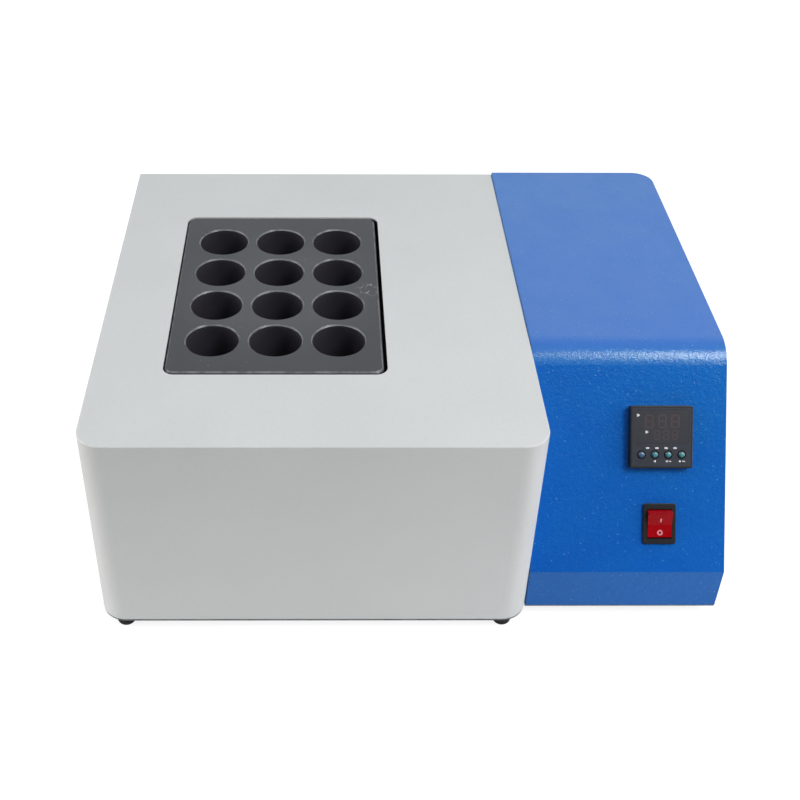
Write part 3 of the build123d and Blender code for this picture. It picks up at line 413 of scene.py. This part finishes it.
def controller_plastic():
    """Black moulded frame with a dark grey overlay on its face, drawn in from the edges. Outside the
    overlay and on its sides it is near black all round: partly the frame's own black, partly painted
    shade on its sides.
    """
    material, g, shader = start("controller_face", 0.40)
    middle = on_panel(*CONTROLLER)
    spot = g.parts_of(g.place(turn=middle.to_euler(), origin=middle.translation))
    away = g.math("MAXIMUM", g.math("ABSOLUTE", spot["X"]), g.math("ABSOLUTE", spot["Y"]))
    inside = g.span(away, OVERLAY_REACH * MM, (OVERLAY_REACH + 0.3) * MM, 1.0, 0.0)
    on_face = g.span(spot["Z"], (BEZEL_HEIGHT - 0.3) * MM, (BEZEL_HEIGHT - 0.1) * MM, 0.0, 1.0)
    overlay = g.colour(g.noise(14, 3), linear(35, 39, 49), linear(44, 47, 57))
    # Near black outside the overlay and below the face: the frame's black, with painted shade on its
    # sides
    tone = g.colour(g.math("MULTIPLY", inside, on_face), linear(16, 17, 21), overlay)
    rough = g.number(g.noise(9, 2), 0.36, 0.50)
    finish_surface(g, shader, tone, rough, g.bump(g.noise(0.8, 2, 0.6), 0.015))
    return material


def key_plastic(number, place, middle, rim):
    """Clear-topped key with painted light: bright in the middle of its face, with painted shade
    darkening it towards its rim.
    """
    material, g, shader = start(f"key_plastic_{number}", 0.22, Coat_Weight=0.8, Coat_Roughness=0.05)
    # Painted light and shade: bright in the middle of the face, darker towards the rim
    lit = g.span(g.distance_from(place), 0.4 * MM, 2.7 * MM, 1.0, 0.0)
    tone = g.colour(lit, linear(*rim), linear(*middle))
    tone = g.colour(g.span(g.noise(1.4, 2), 0.4, 0.7, 0.0, 0.25), tone, linear(*rim))
    rough = g.number(g.noise(2, 2), 0.18, 0.30)
    finish_surface(g, shader, tone, rough, g.bump(g.noise(1.5, 2), 0.01))
    return material


def rocker_red():
    material, g, shader = start(
        "rocker_red", 0.26, Specular_IOR_Level=0.22, Coat_Weight=0.15, Coat_Roughness=0.08
    )
    tone = g.colour(g.noise(8, 2), linear(140, 2, 12), linear(164, 3, 16))
    rough = g.number(g.noise(5, 3), 0.20, 0.34)
    finish_surface(g, shader, tone, rough, g.bump(g.noise(1.2, 2), 0.008))
    return material


def circuit_board():
    material, g, shader = start("circuit_board", 0.40, Coat_Weight=0.4, Coat_Roughness=0.2)
    tracks = g.tree.nodes.new("ShaderNodeTexBrick")
    tracks.inputs["Scale"].default_value = 1 / (3 * MM)
    tracks.inputs["Color1"].default_value = linear(18, 84, 44)
    tracks.inputs["Color2"].default_value = linear(22, 96, 50)
    tracks.inputs["Mortar"].default_value = linear(34, 120, 66)
    g.link(g.place(), tracks.inputs["Vector"])
    finish_surface(g, shader, tracks.outputs["Color"], None, g.bump(tracks.outputs["Fac"], 0.03))
    return material


# Places on the sloping panel
def panel_axes():
    """Right along the panel, up along it, and out of it."""
    right = Vector((1, 0, 0))
    up = Vector((0, sin(PANEL_TILT), cos(PANEL_TILT)))
    return right, up, right.cross(up)


def on_panel(from_left, up_panel, height=0.0, lean=0.0):
    """Frame on the panel in metres, from sizes in millimetres: x right, y up the panel, z out."""
    right, up, out = panel_axes()
    cover_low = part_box("control_cover")[0]
    corner = Vector((cover_low.x, cover_low.y, CREASE_HEIGHT * MM))
    place = corner + MM * (from_left * right + up_panel * up + height * out)
    turn = Matrix((right, up, out)).transposed().to_4x4()
    return Matrix.Translation(place) @ turn @ Matrix.Rotation(lean, 4, "X")


# Marks
def raised(bm, outline, place, bottom, top, bevel):
    """A flat mark with sloping sides, from a convex outline of (x, y) in millimetres."""
    count = len(outline)
    middle = Vector((sum(x for x, y in outline) / count, sum(y for x, y in outline) / count))
    rings = []
    for height, inset in ((bottom, 0.0), (top - bevel, 0.0), (top, bevel)):
        ring = []
        for x, y in outline:
            arm = Vector((x, y)) - middle
            point = middle + arm * max(0.0, 1 - inset / max(arm.length, inset))
            ring.append(bm.verts.new(place @ (Vector((point.x, point.y, height)) * MM)))
        rings.append(ring)
    for lower, upper in zip(rings, rings[1:]):
        for i in range(count):
            j = (i + 1) % count
            bm.faces.new((lower[i], lower[j], upper[j], upper[i]))
    bm.faces.new(rings[-1])
    bm.faces.new(tuple(reversed(rings[0])))


def hoop(bm, centre, outer, inner, place, bottom, top, bevel, sides=48):
    """A flat ring with sloping sides, such as the O of a switch."""
    section = (
        (outer, bottom), (outer, top - bevel), (outer - bevel, top),
        (inner + bevel, top), (inner, top - bevel), (inner, bottom),
    )
    loops = []
    for i in range(sides):
        angle = 2 * pi * i / sides
        loop = []
        for radius, height in section:
            x = centre[0] + radius * cos(angle)
            y = centre[1] + radius * sin(angle)
            loop.append(bm.verts.new(place @ (Vector((x, y, height)) * MM)))
        loops.append(loop)
    for i in range(sides):
        here, there = loops[i], loops[(i + 1) % sides]
        for k in range(len(section)):
            n = (k + 1) % len(section)
            bm.faces.new((here[k], there[k], there[n], here[n]))


def pill(x, y, width, height, steps=8):
    """Outline of a bar with round ends."""
    radius = min(width, height) / 2
    reach = max(width, height) / 2 - radius
    points = []
    for end in (1, -1):
        for i in range(steps + 1):
            angle = pi * i / steps - pi / 2 + (0 if end > 0 else pi)
            along = end * reach + radius * cos(angle)
            across = radius * sin(angle)
            points.append((x + along, y + across) if width >= height else (x - across, y + along))
    return points


def arrow(x, y, size, angle, blunting=0.22):
    """Outline of a small pointer with blunted corners, pointing at angle degrees."""
    points = []
    for k in range(3):
        corner = radians(angle + 120 * k)
        for side in (-blunting, blunting):
            points.append((x + size * cos(corner + side), y + size * sin(corner + side)))
    return points


def segment_outlines(x, y, width, height, stroke):
    """The seven bars of one digit, centred on (x, y)."""
    tip = stroke / 2
    half_w, half_h = width / 2, height / 2
    bars = []
    for level in (-half_h, 0, half_h):
        a, b = x - half_w + SEGMENT_GAP, x + half_w - SEGMENT_GAP
        bars.append([
            (a, y + level), (a + tip, y + level - tip), (b - tip, y + level - tip),
            (b, y + level), (b - tip, y + level + tip), (a + tip, y + level + tip),
        ])
    for side in (-half_w, half_w):
        for low, high in ((-half_h, 0), (0, half_h)):
            a, b = y + low + SEGMENT_GAP, y + high - SEGMENT_GAP
            bars.append([
                (x + side, a), (x + side + tip, a + tip), (x + side + tip, b - tip),
                (x + side, b), (x + side - tip, b - tip), (x + side - tip, a + tip),
            ])
    return bars


def make_piece(name, bm, material, body):
    bmesh.ops.recalc_face_normals(bm, faces=bm.faces)
    mesh = bpy.data.meshes.new(name)
    bm.to_mesh(mesh)
    bm.free()
    mesh.materials.append(material)
    piece = bpy.data.objects.new(name, mesh)
    bpy.context.scene.collection.objects.link(piece)
    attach(piece, body)


def print_on(name, outlines, place, relief, material, body):
    """One piece made of flat marks that share a frame and a relief."""
    bm = bmesh.new()
    for outline in outlines:
        raised(bm, outline, place, *relief)
    make_piece(name, bm, material, body)


def add_digits(material):
    """Unlit display digits that show dimly in the window: a large row over a small one."""
    bars = []
    for row in (LARGE_DIGITS, SMALL_DIGITS):
        for column in DIGIT_COLUMNS:
            x = row["middle"] + column * row["pitch"]
            bars += segment_outlines(x, row["up"], row["width"], row["height"], row["stroke"])
    glass = on_panel(*CONTROLLER, BEZEL_HEIGHT - WINDOW_DROP)
    print_on("display_digits", bars, glass, DIGIT_RELIEF, material, "root")


def add_controller_marks(material):
    face = on_panel(*CONTROLLER, BEZEL_HEIGHT)
    glass = on_panel(*CONTROLLER, BEZEL_HEIGHT - WINDOW_DROP)
    indicators = [pill(x, INDICATORS_UP, *INDICATOR_SIZE) for x in INDICATORS]
    legends = [arrow(x, LEGENDS_UP, LEGEND_ARROW_SIZE, angle) for x, angle in LEGEND_ARROWS]
    legends += [pill(x, LEGENDS_UP, width, LEGEND_BAR_HEIGHT) for x, width in LEGEND_BARS]
    pointers = [arrow(x, y, ROW_POINTER_SIZE, 0) for x, y in ROW_POINTERS]
    for name, outlines, place, relief in (
        ("indicator_marks", indicators, face, INDICATOR_RELIEF),
        ("key_legends", legends, face, PRINT_RELIEF),
        ("row_pointers", pointers, glass, PRINT_RELIEF),
    ):
        print_on(name, outlines, place, relief, material, "root")


def add_rocker_marks(material):
    left, middle_up = SWITCH
    slope = on_panel(left, middle_up + ROCKER_VALLEY_UP, ROCKER_VALLEY_HEIGHT, ROCKER_SLOPE)
    on_mark = [pill(*ON_MARK)]
    print_on("rocker_mark_on", on_mark, slope, ROCKER_RELIEF, material, "rocker")
    level = on_panel(left, middle_up, ROCKER_VALLEY_HEIGHT)
    bm = bmesh.new()
    hoop(bm, OFF_MARK, OFF_MARK_OUTER, OFF_MARK_INNER, level, *ROCKER_RELIEF)
    make_piece("rocker_mark_off", bm, material, "rocker")


# Dressing
def slot_materials():
    """The material of every slot that the record names, apart from the keys'."""
    return {
        "housing_paint": grey_paint(),
        "control_paint": blue_paint(),
        "zinc_plate": zinc(),
        "stainless": brushed("stainless", (160, 160, 158), (198, 198, 195), (1, 12, 1), 0.32),
        "screw_steel": turned_steel(),
        "graphite": graphite(),
        "ceramic_fibre": ceramic_fibre(),
        "brass": brushed("brass", (182, 148, 84), (214, 182, 112), (1, 1, 8), 0.28),
        "rubber": rubber(),
        "black_plastic": moulded(
            "black_plastic", (20, 20, 23), (30, 30, 34), 0.34, 0.50, Specular_IOR_Level=0.35
        ),
        "controller_face": controller_plastic(),
        "display_window": moulded(
            "display_window", (39, 41, 48), (47, 48, 55), 0.34, 0.46, 2.0, 0.006
        ),
        "display_module": moulded("display_module", (40, 34, 35), (50, 42, 43), 0.45, 0.60),
        "rocker_plastic": rocker_red(),
        "circuit_board": circuit_board(),
        "heatsink": brushed("heatsink", (176, 178, 180), (210, 212, 214), (1, 14, 1), 0.36),
        "relay_plastic": moulded("relay_plastic", (30, 30, 33), (42, 42, 45), 0.42, 0.58),
        "terminal_plastic": moulded("terminal_plastic", (196, 192, 176), (216, 212, 198), 0.40, 0.55),
        "lead_insulation": moulded("lead_insulation", (204, 200, 190), (224, 221, 212), 0.45, 0.6),
    }


def key_material(number):
    """A key's plastic, whose painted light lies in the middle of that key's face."""
    low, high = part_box(f"controller_key_{number}")
    face = on_panel(*CONTROLLER, BEZEL_HEIGHT + KEY_PROUD).translation
    up = panel_axes()[1]
    centre = Vector(((low.x + high.x) / 2, face.y, face.z)) - KEYS_DOWN * MM * up
    return key_plastic(number, centre, *KEY_COLOURS[number])


def dress_nodes():
    """Gives every CAD node the material of its slot in the record, and each key its own."""
    by_slot = slot_materials()
    of_key = {f"controller_key_{number}": key_material(number) for number in KEY_COLOURS}
    slot_of = {part["node"]: part["material_slot"] for part in frame["record"]["subparts"]}
    for name, node in nodes.items():
        material = of_key[name] if name in of_key else by_slot[slot_of[name]]
        for material_slot in node.material_slots:
            material_slot.material = material


# Camera, lamps and studio
def add_camera():
    data = bpy.data.cameras.new("camera")
    camera = bpy.data.objects.new("camera", data)
    bpy.context.scene.collection.objects.link(camera)
    forward = Vector((
        sin(CAMERA_YAW) * cos(CAMERA_PITCH),
        cos(CAMERA_YAW) * cos(CAMERA_PITCH),
        -sin(CAMERA_PITCH),
    ))
    level = Vector((cos(CAMERA_YAW), -sin(CAMERA_YAW), 0))
    upright = level.cross(forward)
    right = cos(CAMERA_ROLL) * level + sin(CAMERA_ROLL) * upright
    up = cos(CAMERA_ROLL) * upright - sin(CAMERA_ROLL) * level
    turn = Matrix((right, up, -forward)).transposed().to_4x4()
    camera.matrix_world = Matrix.Translation(CAMERA_PLACE) @ turn
    data.lens = FOCAL_PIXELS * data.sensor_width / FRAME_PIXELS
    data.shift_x = (FRAME_PIXELS / 2 - CENTRE_PIXEL) / FRAME_PIXELS
    data.clip_start = CAMERA_NEAR
    bpy.context.scene.camera = camera


def add_softbox(name, target, direction, across, upward, radiance, tint):
    """An oval softbox that faces a target and doesn't show in the picture."""
    toward = Vector(direction).normalized()
    half_width = LAMP_DISTANCE * tan(radians(across))
    half_height = LAMP_DISTANCE * tan(radians(upward))
    data = bpy.data.lights.new(name, "AREA")
    data.shape = "ELLIPSE"
    data.size = 2 * half_width
    data.size_y = 2 * half_height
    data.energy = radiance * pi * pi * half_width * half_height
    data.color = tint
    lamp = bpy.data.objects.new(name, data)
    bpy.context.scene.collection.objects.link(lamp)
    lamp.location = target + toward * LAMP_DISTANCE
    lamp.rotation_euler = toward.to_track_quat("Z", "Y").to_euler()
    lamp.visible_camera = False


def add_world():
    """A pale studio: bright low down behind and beside the object, dim low down in front of it,
    and even overhead. The camera itself sees plain white. A direction has Y to the back and Z up."""
    world = bpy.data.worlds.new("studio")
    bpy.context.scene.world = world
    world.use_nodes = True
    g = Graph(world.node_tree)
    way = g.parts_of(g.add("ShaderNodeTexCoord").outputs["Generated"])
    behind = g.span(way["Y"], -0.45, 0.55, FRONT_LIGHT, BACK_LIGHT)
    sides = g.span(g.math("ABSOLUTE", way["X"]), 0.55, 0.98, 0.0, SIDE_LIGHT)
    rising = g.span(way["Z"], 0.44, 0.60, 0.52, 1.14)
    around = g.math("MULTIPLY", g.math("MAXIMUM", behind, sides), rising)
    overhead = g.span(way["Z"], 0.60, 0.76, 0.0, 1.0)
    level = g.number(overhead, around, CEILING_LIGHT)
    path = g.add("ShaderNodeLightPath").outputs
    shone = g.number(path["Is Diffuse Ray"], level, g.math("MULTIPLY", level, DIFFUSE_SHARE))
    background = world.node_tree.nodes["Background"]
    g.put(background.inputs["Color"], g.colour(path["Is Camera Ray"], SKY_TINT, WHITE))
    g.put(background.inputs["Strength"], g.number(path["Is Camera Ray"], shone, 1.0))


def add_floor():
    """White floor that keeps the object's shadow. What rays from the camera, a mirror or a window
    see of it is lifted to white by its own colour, with no more light on the object. Near the
    object it throws back more light than further off, as a white table does in a darker room."""
    mesh = bpy.data.meshes.new("floor")
    corners = [(x * FLOOR_HALF, y * FLOOR_HALF, 0) for x, y in ((-1, -1), (1, -1), (1, 1), (-1, 1))]
    mesh.from_pydata(corners, [], [(0, 1, 2, 3)])
    floor = bpy.data.objects.new("floor", mesh)
    bpy.context.scene.collection.objects.link(floor)
    material = bpy.data.materials.new("floor")
    material.use_nodes = True
    material.node_tree.nodes.remove(material.node_tree.nodes["Principled BSDF"])
    g = Graph(material.node_tree)
    path = g.add("ShaderNodeLightPath").outputs
    fade = g.span(g.distance_from((0, 0, 0)), TABLE_REACH, 2 * TABLE_REACH, 0.0, 1.0)

    plain = g.add("ShaderNodeBsdfDiffuse", Color=g.colour(fade, NEAR_FLOOR, FAR_FLOOR))
    shaded = g.add("ShaderNodeBsdfDiffuse", Color=SEEN_FLOOR)
    in_mirror = g.math("MULTIPLY", MIRROR_LIFT, g.math("SUBTRACT", 1.0, fade))
    in_picture = g.number(fade, CAMERA_LIFT, 1.0)
    lift = g.add(
        "ShaderNodeEmission", Strength=g.number(path["Is Camera Ray"], in_mirror, in_picture)
    )
    shown = g.add("ShaderNodeAddShader")
    g.link(shaded.outputs[0], shown.inputs[0])
    g.link(lift.outputs[0], shown.inputs[1])

    mirrored = g.math("MAXIMUM", path["Is Glossy Ray"], path["Is Transmission Ray"])
    choice = g.add("ShaderNodeMixShader")
    g.link(g.math("MAXIMUM", path["Is Camera Ray"], mirrored), choice.inputs[0])
    g.link(plain.outputs[0], choice.inputs[1])
    g.link(shown.outputs[0], choice.inputs[2])
    g.link(choice.outputs[0], material.node_tree.nodes["Material Output"].inputs["Surface"])
    mesh.materials.append(material)


# The scene
add_camera()
add_world()
add_floor()
for lamp_name, lamp_values in SOFTBOXES.items():
    add_softbox(lamp_name, *lamp_values)

dress_nodes()
add_digits(moulded("digit_segments", (64, 54, 58), (74, 61, 64), 0.30, 0.42))
add_controller_marks(moulded("white_ink", (196, 197, 202), (214, 215, 219), 0.40, 0.50, 0.5, 0.004))
add_rocker_marks(moulded("rocker_ink", (216, 140, 150), (228, 158, 166), 0.35, 0.45, 0.5, 0.004))

bpy.context.scene.view_settings.view_transform = "Standard"
